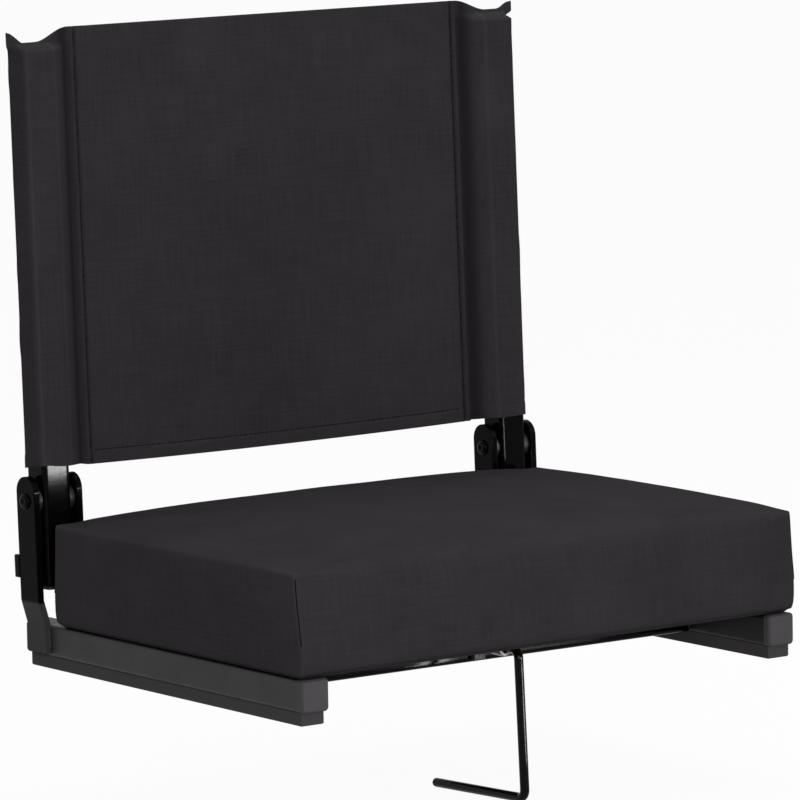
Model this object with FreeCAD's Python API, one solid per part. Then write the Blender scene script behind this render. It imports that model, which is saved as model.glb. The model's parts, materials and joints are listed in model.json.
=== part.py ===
"""Folding stadium chair: padded seat on two tube runners, hinged canvas back, swinging bench hook.

Frame: +X to the right as seen from the front, +Y to the rear, +Z up, millimetres.
Origin: middle of the footprint, on the bench that the foot strips rest on.
"""
import FreeCAD, Part
import math
import os

V = FreeCAD.Vector

# Tube stock, used for the runners, the cross tubes and the back
tube_size = 22.0
tube_wall = 1.5
tube_corner = 3.0

# Runners, end caps and foot strips
track = 394.0
runner_tail = 40.0
cap_head = 6.0
cap_edge = 1.2
plug_length = 18.0
plug_clearance = 0.15
plug_wall = 2.0
foot_height = 9.0
foot_inset = 2.0
foot_setback = 4.0
foot_edge = 0.75
foot_screw_step = 18.0
foot_screw_recess = 5.5

# Cross tubes, from the cushion's front and rear edges to their middles
front_cross_setback = 99.0
rear_cross_setback = 59.0

# Seat
cushion_overhang = 2.5
cushion_depth = 292.0
cushion_edge_height = 69.0
cushion_corner = 4.0
cushion_tuck = 1.0
cushion_top_draw = 3.0
belly_share = 0.3
crown_across = 6.0
crown_along = 4.5
top_edge_radius = 9.0
cover_thickness = 1.0
cover_hem = 22.0
soft_clearance = 0.3
board_thickness = 9.0
board_corner = 10.0
seat_screw_plug_gap = 12.0
seat_screw_edge_gap = 26.0

# Hinges of the back
pivot_gap = 22.5
pivot_height = 117.0
back_lean = 2.0
strap_width = 22.0
strap_thickness = 4.6
strap_rise = 17.0
strap_bend = 6.0
joggle_lift = 1.5
joggle_height = 16.0
weld_lift = 2.5
spacer_thickness = 4.3
spacer_radius = 8.5
spacer_play = 0.1
pin_radius = 4.0
pin_head_radius = 6.5
pin_head_height = 2.6
running_clearance = 0.05

# Back tubes and the stop bar behind them
back_drop = 60.0
back_rise = 303.0
back_plug_head = 2.0
back_plug_length = 10.0
stop_bar_height = 16.0
stop_bar_thickness = 5.5
stop_bar_drop = 46.0
stop_bar_overhang = 0.5
stop_bar_edge = 1.0
stop_rivet_spacing = 8.0

# Canvas sling
sling_bottom = 21.5
sling_head = 21.5
cloth_thickness = 1.2
panel_thickness = 2.0
seam_offset = 20.5
sleeve_tip_reach = 9.0
sleeve_close_height = 8.5
sleeve_dip = 8.0
sleeve_tip_drop = 2.5
sleeve_shoulder = 15.0
dip_sag_inside = 0.8
dip_sag_outside = 1.3

# Bench hook
rod_radius = 3.2
hook_axis_height = 23.0
hook_setback = 40.5
hook_drop = 101.2
hook_splay = 5.2
hook_reach = 103.5
hook_droop = 3.5
hook_bend = 6.0
hook_tail = 9.0
rod_tip_round = 2.5
bearing_width = 9.0
bearing_thickness = 4.0
bearing_lift = 2.0
retainer_radius = 6.5
retainer_length = 8.0
retainer_end = 2.0
retainer_edge = 1.0
hanger_setback = 60.0
hanger_width = 12.0
hanger_thickness = 2.5
hanger_clearance = 0.4
hanger_ear = 15.0
hanger_bend = 2.0
hanger_screw_share = 0.55

# Screws and rivets
screw_radius = 2.0
screw_head_radius = 4.0
screw_head_height = 2.4
seat_screw_radius = 2.5
seat_screw_head_radius = 5.0
seat_screw_head_height = 3.2
screw_bite = 7.0
foot_screw_bite = 6.0
stop_rivet_radius = 2.4
stop_rivet_head_radius = 4.2
stop_rivet_head_height = 1.8
stop_rivet_grip = 2.0
head_taper = 0.7
screw_clearance = 0.1
access_clearance = 1.0
cut_margin = 1.0

# Derived places
half_track = track / 2
half_tube = tube_size / 2
inner_corner = max(tube_corner - tube_wall, tube_wall / 2)
runner_bottom = foot_height
runner_top = foot_height + tube_size
frame_end = (cushion_depth + runner_tail) / 2
runner_end = frame_end - cap_head
runner_length = 2 * runner_end
board_bottom = runner_top + cover_thickness
board_top = board_bottom + board_thickness
cushion_width = track + tube_size + 2 * cushion_overhang
cushion_front = -frame_end
cushion_rear = cushion_front + cushion_depth
cushion_middle = cushion_front + cushion_depth / 2
cushion_top = runner_top + cushion_edge_height
first_seat_screw = cushion_front + cap_head + plug_length + seat_screw_plug_gap
seat_screw_places = (first_seat_screw, cushion_middle, cushion_rear - seat_screw_edge_gap)
foot_screw_places = tuple(place + foot_screw_step for place in seat_screw_places)
front_cross_place = cushion_front + front_cross_setback
rear_cross_place = cushion_rear - rear_cross_setback
hook_front_place = cushion_front + hook_setback
hanger_place = cushion_front + hanger_setback
pivot_place = cushion_rear + pivot_gap
hinge_half_width = half_tube + spacer_thickness + strap_thickness
bore_radius = pin_radius + running_clearance
sling_top = back_rise + sling_head
hanger_screw_place = rod_radius + hanger_clearance + hanger_thickness + hanger_ear * hanger_screw_share
BIG = 4 * (track + runner_length)


def rounded_outline(corners, place):
    """Closed wire through (u, v, radius) corners; place turns (u, v) into a point in space."""
    starts = []
    arcs = []
    count = len(corners)
    for i, (u, v, radius) in enumerate(corners):
        here = V(u, v, 0)
        before = V(*corners[i - 1][:2], 0) - here
        after = V(*corners[(i + 1) % count][:2], 0) - here
        before.normalize()
        after.normalize()
        if radius <= 0 or (before + after).Length < 1e-3:
            starts.append((here, here))
            arcs.append(None)
            continue
        half_angle = before.getAngle(after) / 2
        reach = radius / math.tan(half_angle)
        middle = before + after
        middle.normalize()
        nearest = here + middle * (radius / math.sin(half_angle) - radius)
        starts.append((here + before * reach, here + after * reach))
        arcs.append(nearest)
    edges = []
    for i in range(count):
        first, last = starts[i]
        following = starts[(i + 1) % count][0]
        if arcs[i] is not None:
            edges.append(Part.Arc(*[place(p.x, p.y) for p in (first, arcs[i], last)]).toShape())
        if (following - last).Length > 1e-6:
            edges.append(Part.makeLine(place(last.x, last.y), place(following.x, following.y)))
    return Part.Wire(edges)


def prism(corners, plane, start, length):
    """Solid of a rounded outline in the XY, XZ or YZ plane, pushed along the plane's normal."""
    places = {
        "XY": lambda u, v: V(u, v, start),
        "XZ": lambda u, v: V(u, start, v),
        "YZ": lambda u, v: V(start, u, v),
    }
    pushes = {"XY": V(0, 0, length), "XZ": V(0, length, 0), "YZ": V(length, 0, 0)}
    return Part.Face(rounded_outline(corners, places[plane])).extrude(pushes[plane])


def rectangle(u0, u1, v0, v1, radius=0.0):
    """Corners of a rectangle with one corner radius."""
    return [(u0, v0, radius), (u1, v0, radius), (u1, v1, radius), (u0, v1, radius)]


def cylinder(radius, length, start, direction):
    """Round bar from a start point along a direction."""
    return Part.makeCylinder(radius, length, V(*start), V(*direction))


def pan_head(radius, height, start, direction):
    """Low tapered head of a rivet or screw on the plane at start."""
    return Part.makeCone(radius, radius * head_taper, height, V(*start), V(*direction))


def pan_screw(radius, head_radius, head_height, bite, seat, direction):
    """Screw with a pan head: the seat is the underside of its head, the shank runs along direction."""
    away = [-d for d in direction]
    return cylinder(radius, bite, seat, direction).fuse(pan_head(head_radius, head_height, seat, away))


def leaned(shape):
    """Turn a piece made about an upright back, with the pivot at the origin, to its place."""
    placed = shape.copy()
    placed.rotate(V(0, 0, 0), V(1, 0, 0), -back_lean)
    placed.translate(V(0, pivot_place, pivot_height))
    return placed


def tube_section(size_cut, corner):
    """Corners of a tube's outer or inner outline about its own middle."""
    half = half_tube - size_cut
    return rectangle(-half, half, -half, half, corner)


def square_tube(plane, start, length):
    """Length of the frame's square tube about the axis through the origin."""
    outside = prism(tube_section(0, tube_corner), plane, start, length)
    inside = prism(tube_section(tube_wall, inner_corner), plane, start, length)
    return outside.cut(inside)


def tube_plug(plane, mouth, outward, head, length):
    """Moulded end plug: a head over the tube's end and a hollow stem inside it."""
    stem_half = half_tube - tube_wall - plug_clearance
    stem = rectangle(-stem_half, stem_half, -stem_half, stem_half, inner_corner)
    core_half = stem_half - plug_wall
    core = rectangle(-core_half, core_half, -core_half, core_half)
    cover = prism(tube_section(0, tube_corner), plane, mouth, outward * head)
    faces = [f for f in cover.Faces if f.normalAt(0, 0).getAngle(normal_of(plane) * outward) < 0.01]
    end = faces[0]
    cover = cover.makeChamfer(min(cap_edge, head / 2), end.Edges)
    inner = prism(stem, plane, mouth, -outward * length)
    hollow = prism(core, plane, mouth, -outward * length)
    return cover.fuse(inner.cut(hollow)).removeSplitter()


def normal_of(plane):
    """Unit normal of a named plane."""
    return {"XY": V(0, 0, 1), "XZ": V(0, 1, 0), "YZ": V(1, 0, 0)}[plane]


def shifted(shape, x=0.0, y=0.0, z=0.0):
    """Copy of a shape, moved."""
    moved = shape.copy()
    moved.translate(V(x, y, z))
    return moved


def runner(side):
    """Square tube along the bench, drilled for the seat screws and the foot screws."""
    x = side * half_track
    tube = shifted(square_tube("XZ", -runner_end, runner_length), x=x, z=runner_bottom + half_tube)
    up = (0, 0, 1)
    for y in seat_screw_places:
        middle = (x, y, runner_bottom + half_tube)
        below = (x, y, runner_bottom)
        tube = tube.cut(cylinder(seat_screw_radius + screw_clearance, tube_size, middle, up))
        tube = tube.cut(cylinder(seat_screw_head_radius + access_clearance, half_tube, below, up))
    for y in foot_screw_places:
        tube = tube.cut(cylinder(screw_radius + screw_clearance, half_tube, (x, y, runner_bottom), up))
    return tube


def runner_cap(side, end):
    """Moulded cap on one end of a runner."""
    cap = tube_plug("XZ", end * runner_end, end, cap_head, plug_length)
    return shifted(cap, x=side * half_track, z=runner_bottom + half_tube)


def foot_strip(side):
    """Rubber strip under a runner, with recesses for its screws."""
    half = half_tube - foot_inset
    reach = frame_end - foot_setback
    outline = rectangle(side * half_track - half, side * half_track + half, -reach, reach)
    strip = prism(outline, "XY", 0, foot_height)
    lower = [e for e in strip.Edges if abs(e.BoundBox.ZMax) < 1e-6]
    strip = strip.makeChamfer(foot_edge, lower)
    for y in foot_screw_places:
        place = (side * half_track, y, 0)
        recess = cylinder(screw_head_radius + screw_clearance, foot_screw_recess, place, (0, 0, 1))
        strip = strip.cut(recess).cut(cylinder(screw_radius + screw_clearance, foot_height, place, (0, 0, 1)))
    return strip


def foot_screws():
    """Screws up through the foot strips into the runners."""
    bite = foot_height - foot_screw_recess + tube_wall + foot_screw_bite
    sizes = (screw_radius, screw_head_radius, screw_head_height)
    screws = []
    for side in (-1, 1):
        for y in foot_screw_places:
            seat = (side * half_track, y, foot_screw_recess)
            screws.append(pan_screw(*sizes, bite, seat, (0, 0, 1)))
    return Part.makeCompound(screws)


def cross_tube(place):
    """Square tube welded between the runners."""
    length = track - tube_size
    return shifted(square_tube("YZ", -length / 2, length), y=place, z=runner_bottom + half_tube)


def front_cross_tube():
    """Front cross tube, bored for the hook's upper leg."""
    front = front_cross_place - half_tube
    bore = cylinder(rod_radius + hanger_clearance, tube_size, (0, front, hook_axis_height), (0, 1, 0))
    return cross_tube(front_cross_place).cut(bore)


def stretch(points, curved):
    """One arc through three points, or the two lines between them."""
    if curved:
        return [Part.Arc(*points).toShape()]
    return [Part.makeLine(points[0], points[1]), Part.makeLine(points[1], points[2])]


def cushion_section(place, inset, lowered, narrowed):
    """Outline across the cushion: flat base, bellied sides, rounded edges and a crown arc on top.

    The outside is curved; the hollow and the foam, which nothing shows, have bevels in place of small curves.
    """
    curved = inset == 0
    base = runner_top + inset
    half_base = cushion_width / 2 - cushion_tuck - inset - narrowed
    half_belly = cushion_width / 2 - inset - narrowed
    half_top = cushion_width / 2 - cushion_top_draw - inset - narrowed
    edge = top_edge_radius - inset
    along = (place - cushion_middle) / (cushion_depth / 2)
    rim = cushion_top + crown_along * (1 - along ** 2) - inset - lowered
    crown = rim + crown_across
    belly = base + belly_share * (rim - base)
    turn = edge * (1 - math.sqrt(0.5))
    points = [(half_base, base), (half_belly, belly), (half_top, rim - edge), (half_top - turn, rim - turn),
              (half_top - edge, rim)]
    right = [V(x, place, z) for x, z in points]
    left = [V(-x, place, z) for x, z in points]
    edges = [Part.makeLine(left[0], right[0])]
    edges += stretch(right[:3], curved) + stretch(right[2:], curved)
    edges += stretch([right[4], V(0, place, crown), left[4]], True)
    edges += stretch(left[4:1:-1], curved) + stretch(left[2::-1], curved)
    return Part.Wire(edges)


def cushion_form(inset):
    """Crowned cushion with bellied sides, soft upper edges and square-cut corners, inset all round."""
    edge = top_edge_radius - inset
    front = cushion_front + inset
    rear = cushion_rear - inset
    turn = edge * (1 - math.sqrt(0.5))
    corner_turn = cushion_corner * (1 - math.sqrt(0.5))
    steps = [(0, edge, cushion_corner), (turn, turn, corner_turn), (edge, 0, 0)]
    front_edge = [cushion_section(front + step, inset, low, narrow) for step, low, narrow in steps]
    rear_edge = [cushion_section(rear - step, inset, low, narrow) for step, low, narrow in steps]
    middle = [front_edge[-1], cushion_section(cushion_middle, inset, 0, 0), rear_edge[-1]]
    lofts = [Part.makeLoft(sections, True, inset > 0) for sections in (front_edge, middle, rear_edge)]
    return lofts[0].fuse(lofts[1:])


def seat_board():
    """Plywood board, drilled for the screws that hold it and the hook's hanger."""
    inset = cushion_tuck + cushion_corner + cover_thickness + soft_clearance
    half_width = cushion_width / 2 - inset
    half_depth = cushion_depth / 2 - inset
    front = cushion_middle - half_depth
    rear = cushion_middle + half_depth
    outline = rectangle(-half_width, half_width, front, rear, board_corner)
    board = prism(outline, "XY", board_bottom, board_thickness)
    up = (0, 0, 1)
    depth = screw_bite + cut_margin
    for side in (-1, 1):
        for y in seat_screw_places:
            place = (side * half_track, y, board_bottom)
            board = board.cut(cylinder(seat_screw_radius + screw_clearance, depth, place, up))
        place = (side * hanger_screw_place, hanger_place, board_bottom)
        board = board.cut(cylinder(screw_radius + screw_clearance, depth, place, up))
    return board


def seat_foam():
    """Foam block on the board."""
    above = Part.makeBox(BIG, BIG, BIG, V(-BIG / 2, -BIG / 2, board_top))
    return cushion_form(cover_thickness + soft_clearance).common(above)


def seat_cover():
    """Sewn cover round the foam and the board, with its hem turned under the board."""
    half_width = cushion_width / 2 - cover_hem
    half_depth = cushion_depth / 2 - cover_hem
    front = cushion_middle - half_depth
    rear = cushion_middle + half_depth
    window = rectangle(-half_width, half_width, front, rear, board_corner)
    depth = cover_thickness + 2 * cut_margin
    cover = cushion_form(0).cut(cushion_form(cover_thickness))
    cover = cover.cut(prism(window, "XY", runner_top - cut_margin, depth))
    for side in (-1, 1):
        for y in seat_screw_places:
            place = (side * half_track, y, runner_top - cut_margin)
            cover = cover.cut(cylinder(seat_screw_radius + screw_clearance, depth, place, (0, 0, 1)))
    return cover


def seat_screws():
    """Screws from inside the runners up into the board."""
    bite = tube_wall + cover_thickness + screw_bite
    sizes = (seat_screw_radius, seat_screw_head_radius, seat_screw_head_height)
    screws = []
    for side in (-1, 1):
        for y in seat_screw_places:
            seat = (side * half_track, y, runner_top - tube_wall)
            screws.append(pan_screw(*sizes, bite, seat, (0, 0, 1)))
    return Part.makeCompound(screws)


def hinge_arm(side, direction):
    """Flat strap beside a back tube, cranked in to lie on the runner's side."""
    low = half_tube
    high = half_tube + spacer_thickness
    stretch = 1 / math.cos(math.radians(back_lean))
    foot = -pivot_height * stretch
    crank_low = (runner_top + joggle_lift - pivot_height) * stretch
    crank_high = crank_low + joggle_height
    slope = math.atan2(spacer_thickness, joggle_height)
    mitre = strap_thickness * math.tan(slope / 2)
    outer_bend = strap_bend + strap_thickness
    band = [(low, foot, 0), (low, crank_low, outer_bend),
            (high, crank_high, strap_bend), (high, strap_rise, 0),
            (high + strap_thickness, strap_rise, 0), (high + strap_thickness, crank_high - mitre, outer_bend),
            (low + strap_thickness, crank_low - mitre, strap_bend), (low + strap_thickness, foot, 0)]
    strap = prism([(direction * u, v, r) for u, v, r in band], "XZ", -strap_width / 2, strap_width)
    half = strap_width / 2
    outline = [(-half, foot, 0), (half, foot, 0), (half, strap_rise, half), (-half, strap_rise, half)]
    strap = strap.common(prism(outline, "YZ", -BIG / 2, BIG))
    strap = strap.cut(cylinder(bore_radius, BIG, (-BIG / 2, 0, 0), (1, 0, 0)))
    below = Part.makeBox(BIG, BIG, BIG, V(-BIG / 2, -BIG / 2, runner_bottom + weld_lift - BIG))
    return leaned(shifted(strap, x=side * half_track)).cut(below)


def pivot_pin(side):
    """Riveted pin through a pair of arms and the tube between them."""
    x = side * half_track
    pin = cylinder(pin_radius, 2 * hinge_half_width, (x - hinge_half_width, 0, 0), (1, 0, 0))
    for end in (-1, 1):
        seat = (x + end * hinge_half_width, 0, 0)
        pin = pin.fuse(pan_head(pin_head_radius, pin_head_height, seat, (end, 0, 0)))
    return leaned(pin.removeSplitter())


def pivot_spacer(side, direction):
    """Nylon washer on the pin, between an arm and the back tube."""
    seat = (side * half_track + direction * (half_tube + spacer_thickness), 0, 0)
    length = spacer_thickness - spacer_play
    ring = cylinder(spacer_radius, length, seat, (-direction, 0, 0))
    return leaned(ring.cut(cylinder(bore_radius, length, seat, (-direction, 0, 0))))


def back_tube(side):
    """Upright of the back, bored for its pivot and the stop bar's rivets."""
    x = side * half_track
    tube = shifted(square_tube("XY", -back_drop, back_drop + back_rise), x=x)
    tube = tube.cut(cylinder(bore_radius, BIG, (-BIG / 2, 0, 0), (1, 0, 0)))
    radius = stop_rivet_radius + screw_clearance
    for seat in stop_rivet_seats(side):
        tube = tube.cut(cylinder(radius, half_tube, (seat.x, 0, seat.z), (0, 1, 0)))
    return leaned(tube)


def back_plug(side, end):
    """Plug in the upper or lower end of a back tube."""
    mouth = back_rise if end > 0 else -back_drop
    plug = tube_plug("XY", mouth, end, back_plug_head, back_plug_length)
    return leaned(shifted(plug, x=side * half_track))


def stop_rivet_seats(side):
    """Places of one tube's two rivets, on the stop bar's rear face."""
    rear = half_tube + stop_bar_thickness
    return [V(side * half_track + step * stop_rivet_spacing / 2, rear, -stop_bar_drop) for step in (-1, 1)]


def stop_bar():
    """Flat bar across the rear of both tubes, whose ends lie on the arms' rear edges at rest."""
    reach = half_track + hinge_half_width + stop_bar_overhang
    low = -stop_bar_drop - stop_bar_height / 2
    outline = rectangle(-reach, reach, low, low + stop_bar_height, stop_bar_edge)
    bar = prism(outline, "XZ", half_tube, stop_bar_thickness)
    radius = stop_rivet_radius + screw_clearance
    for side in (-1, 1):
        for seat in stop_rivet_seats(side):
            bar = bar.cut(cylinder(radius, BIG, (seat.x, 0, seat.z), (0, 1, 0)))
    return leaned(bar)


def stop_bar_rivets():
    """Rivets that hold the stop bar to the tubes."""
    bite = stop_bar_thickness + tube_wall + stop_rivet_grip
    sizes = (stop_rivet_radius, stop_rivet_head_radius, stop_rivet_head_height)
    rivets = []
    for side in (-1, 1):
        for seat in stop_rivet_seats(side):
            rivets.append(leaned(pan_screw(*sizes, bite, tuple(seat), (0, -1, 0))))
    return Part.makeCompound(rivets)


def sling_sections():
    """Outline of the sling across its width, and of one sleeve's hollow, in the XY plane."""
    skin = panel_thickness / 2
    inner = half_tube + soft_clearance
    outer = inner + cloth_thickness
    round_out = tube_corner + soft_clearance + cloth_thickness
    round_in = tube_corner + soft_clearance
    seam = half_track - half_tube - seam_offset
    near, far = (half_track - outer, half_track + outer)
    right_half = [(seam, -skin, 0), (near, -outer, round_out), (far, -outer, round_out),
                  (far, outer, round_out), (near, outer, round_out), (seam, skin, 0)]
    left_half = [(-u, v, r) for u, v, r in reversed(right_half)]
    slope = math.atan2(outer - skin, near - seam)
    run = math.tan(slope)
    gain = cloth_thickness / math.cos(slope) - skin
    apex = seam + gain / run
    shoulder = seam + (inner + gain) / run
    hollow = [(apex, 0, 0), (shoulder, -inner, round_in), (half_track + inner, -inner, round_in),
              (half_track + inner, inner, round_in), (shoulder, inner, round_in)]
    return right_half, right_half + left_half, hollow


def sleeve_top(sleeve, height):
    """Top of a sleeve: it closes from the tube's outline to a flat seam, which ends in a standing tip."""
    skin = panel_thickness / 2
    seam = sleeve[0][0]
    tip = half_track + half_tube + sleeve_tip_reach
    inward = seam + seam_offset
    layer = cloth_thickness
    flat = [(seam, -skin, 0), (inward, -layer, layer / 2), (tip, -layer, layer / 2), (tip, layer, layer / 2),
            (inward, layer, layer / 2), (seam, skin, 0)]
    closed = height + sleeve_close_height
    lower = rounded_outline(sleeve, lambda u, v: V(u, v, height))
    upper = rounded_outline(flat, lambda u, v: V(u, v, closed))
    fin = prism(flat, "XY", closed, sling_top - closed)
    return Part.makeLoft([lower, upper], True, True).fuse(fin)


def top_trim():
    """What is cut away above a sleeve: the edge dips over the tube and rises to the panel and the tip."""
    tip = half_track + half_tube + sleeve_tip_reach
    low = V(half_track, 0, sling_top - sleeve_dip)
    end = V(tip + cut_margin, 0, sling_top - sleeve_tip_drop)
    start = V(half_track - half_tube - sleeve_shoulder, 0, sling_top)
    bend_in = (start + low) / 2 - V(0, 0, dip_sag_inside)
    bend_out = (end + low) / 2 - V(0, 0, dip_sag_outside)
    high = V(0, 0, sleeve_dip + cut_margin)
    edges = [Part.Arc(start, bend_in, low).toShape(), Part.Arc(low, bend_out, end).toShape(),
             Part.makeLine(end, end + high), Part.makeLine(end + high, start + high),
             Part.makeLine(start + high, start)]
    return shifted(Part.Face(Part.Wire(edges)).extrude(V(0, BIG, 0)), y=-BIG / 2)


def mirrored(shape):
    """Mirror image across the chair's middle plane."""
    return shape.mirror(V(0, 0, 0), V(1, 0, 0))


def back_sling():
    """Canvas back: a panel sewn to a sleeve on each tube, closed over the tube's upper end."""
    sleeve, outline, hollow = sling_sections()
    close_start = back_rise + back_plug_head + soft_clearance
    skin = panel_thickness / 2
    seam = sleeve[0][0]
    body = prism(outline, "XY", sling_bottom, close_start - sling_bottom)
    bore = prism(hollow, "XY", sling_bottom - cut_margin, close_start - sling_bottom + cut_margin)
    body = body.cut(bore).cut(mirrored(bore))
    panel_top = prism(rectangle(-seam, seam, -skin, skin), "XY", close_start, sling_top - close_start)
    right_top = sleeve_top(sleeve, close_start).cut(top_trim())
    sling = body.fuse([panel_top, right_top, mirrored(right_top)]).removeSplitter()
    return leaned(sling)


def hook_rod():
    """Bent round rod: upper leg back through the cross tube, shank down, lower leg back under the bench."""
    lower = hook_axis_height - hook_drop
    front = hook_front_place
    tail = front_cross_place + half_tube + hook_tail
    route = [(tail, hook_axis_height), (front, hook_axis_height), (front - hook_splay, lower),
             (front - hook_splay + hook_reach, lower - hook_droop)]
    points = [V(0, y, z) for y, z in route]
    edges = []
    last = points[0]
    for before, here, after in zip(points, points[1:], points[2:]):
        back = (before - here).normalize()
        ahead = (after - here).normalize()
        half_angle = back.getAngle(ahead) / 2
        reach = hook_bend / math.tan(half_angle)
        nearest = here + (back + ahead).normalize() * (hook_bend / math.sin(half_angle) - hook_bend)
        edges.append(Part.makeLine(last, here + back * reach))
        edges.append(Part.Arc(here + back * reach, nearest, here + ahead * reach).toShape())
        last = here + ahead * reach
    edges.append(Part.makeLine(last, points[-1]))
    section = Part.Wire(Part.makeCircle(rod_radius, points[0], V(0, 1, 0)))
    rod = Part.Wire(edges).makePipeShell([section], True, False)
    ends = [e for e in rod.Edges if (e.CenterOfMass - points[-1]).Length < 1e-3]
    return rod.makeFillet(rod_tip_round, ends)


def hook_retainer():
    """Push-on cap that keeps the hook's upper leg in the cross tube."""
    rear = front_cross_place + half_tube
    start = (0, rear + soft_clearance, hook_axis_height)
    cap = cylinder(retainer_radius, retainer_length + retainer_end, start, (0, 1, 0))
    rim = [e for e in cap.Edges if abs(e.CenterOfMass.y - start[1] - retainer_length - retainer_end) < 1e-6]
    cap = cap.makeChamfer(retainer_edge, rim)
    depth = hook_tail - soft_clearance + screw_clearance
    return cap.cut(cylinder(rod_radius + running_clearance, depth, start, (0, 1, 0)))


def hook_bearing():
    """Plate on the front of the cross tube, bored to carry the hook."""
    half = bearing_width / 2
    front = front_cross_place - half_tube - bearing_thickness
    outline = rectangle(-half, half, runner_bottom + bearing_lift, runner_top)
    plate = prism(outline, "XZ", front, bearing_thickness)
    place = (0, front, hook_axis_height)
    return plate.cut(cylinder(rod_radius + running_clearance, bearing_thickness, place, (0, 1, 0)))


def hook_hanger():
    """Saddle under the board, round the hook's upper leg."""
    inner = rod_radius + hanger_clearance
    outer = inner + hanger_thickness
    ear = outer + hanger_ear
    top = board_bottom
    under = board_bottom - hanger_thickness
    wide_bend = hanger_bend + hanger_thickness
    band = [(-ear, under, 0), (-outer, under, hanger_bend), (-outer, hook_axis_height - outer, outer),
            (outer, hook_axis_height - outer, outer), (outer, under, hanger_bend), (ear, under, 0),
            (ear, top, 0), (inner, top, wide_bend), (inner, hook_axis_height - inner, inner),
            (-inner, hook_axis_height - inner, inner), (-inner, top, wide_bend), (-ear, top, 0)]
    hanger = prism(band, "XZ", hanger_place - hanger_width / 2, hanger_width)
    for side in (-1, 1):
        place = (side * hanger_screw_place, hanger_place, under)
        hanger = hanger.cut(cylinder(screw_radius + screw_clearance, hanger_thickness, place, (0, 0, 1)))
    return hanger


def hanger_screws():
    """Screws that hold the saddle to the board."""
    screws = []
    for side in (-1, 1):
        seat = (side * hanger_screw_place, hanger_place, board_bottom - hanger_thickness)
        bite = hanger_thickness + screw_bite
        screws.append(pan_screw(screw_radius, screw_head_radius, screw_head_height, bite, seat, (0, 0, 1)))
    return Part.makeCompound(screws)


sides = {"left": -1, "right": 1}
ends = {"front": -1, "rear": 1}

nodes = {
    "front_cross_tube": front_cross_tube(),
    "rear_cross_tube": cross_tube(rear_cross_place),
    "foot_screws": foot_screws(),
    "seat_board": seat_board(),
    "seat_foam": seat_foam(),
    "seat_cover": seat_cover(),
    "seat_screws": seat_screws(),
    "hook_bearing": hook_bearing(),
    "hook_hanger": hook_hanger(),
    "hanger_screws": hanger_screws(),
    "stop_bar": stop_bar(),
    "stop_bar_rivets": stop_bar_rivets(),
    "back_sling": back_sling(),
    "hook_rod": hook_rod(),
    "hook_retainer": hook_retainer(),
}
for word, side in sides.items():
    nodes[word + "_runner"] = runner(side)
    nodes[word + "_foot_strip"] = foot_strip(side)
    nodes[word + "_pivot_pin"] = pivot_pin(side)
    nodes[word + "_back_tube"] = back_tube(side)
    nodes[word + "_top_plug"] = back_plug(side, 1)
    nodes[word + "_bottom_plug"] = back_plug(side, -1)
    for end_word, end in ends.items():
        nodes[word + "_" + end_word + "_cap"] = runner_cap(side, end)
    for arm_word, direction in (("outer", side), ("inner", -side)):
        nodes[word + "_" + arm_word + "_arm"] = hinge_arm(side, direction)
        nodes[word + "_" + arm_word + "_spacer"] = pivot_spacer(side, direction)

os.makedirs("parts", exist_ok=True)
for name, shape in nodes.items():
    if not shape.isValid():
        raise ValueError(name + " is not a valid solid")
    shape.exportStep("parts/" + name + ".step")
    print(name, len(shape.Solids), round(shape.Volume, 1))
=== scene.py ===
"""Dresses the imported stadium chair: sewn seat, canvas back, paint, rubber, light and camera.

Metres, in the CAD frame: +X right as seen from the front, +Y to the rear, +Z up from the bench.
"""
import bmesh
import bpy
import json
import math
from mathutils import Matrix, Vector, noise


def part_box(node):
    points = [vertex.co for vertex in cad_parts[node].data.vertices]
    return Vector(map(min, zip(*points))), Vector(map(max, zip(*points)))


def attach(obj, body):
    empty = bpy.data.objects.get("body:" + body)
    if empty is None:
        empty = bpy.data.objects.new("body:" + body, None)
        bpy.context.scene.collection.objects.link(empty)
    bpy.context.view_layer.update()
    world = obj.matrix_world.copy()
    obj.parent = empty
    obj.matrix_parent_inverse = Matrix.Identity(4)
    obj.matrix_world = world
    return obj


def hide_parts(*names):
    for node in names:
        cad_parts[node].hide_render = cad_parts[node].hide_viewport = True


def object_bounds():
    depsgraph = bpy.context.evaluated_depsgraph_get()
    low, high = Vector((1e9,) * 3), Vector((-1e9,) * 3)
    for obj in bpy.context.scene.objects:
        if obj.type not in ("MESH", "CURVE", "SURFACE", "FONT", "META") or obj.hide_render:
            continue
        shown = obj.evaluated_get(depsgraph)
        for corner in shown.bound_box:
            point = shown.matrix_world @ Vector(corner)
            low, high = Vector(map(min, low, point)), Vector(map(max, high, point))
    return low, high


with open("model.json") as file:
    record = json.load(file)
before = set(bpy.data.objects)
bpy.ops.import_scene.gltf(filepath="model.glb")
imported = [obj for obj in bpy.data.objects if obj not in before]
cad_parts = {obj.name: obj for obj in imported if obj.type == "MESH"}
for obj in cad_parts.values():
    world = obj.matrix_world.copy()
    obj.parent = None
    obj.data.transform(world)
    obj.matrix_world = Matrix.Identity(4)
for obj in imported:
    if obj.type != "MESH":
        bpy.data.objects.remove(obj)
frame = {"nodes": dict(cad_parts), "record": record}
cad_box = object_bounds()
scene = bpy.context.scene
scene.view_settings.view_transform = "Standard"

MM = 0.001

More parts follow.
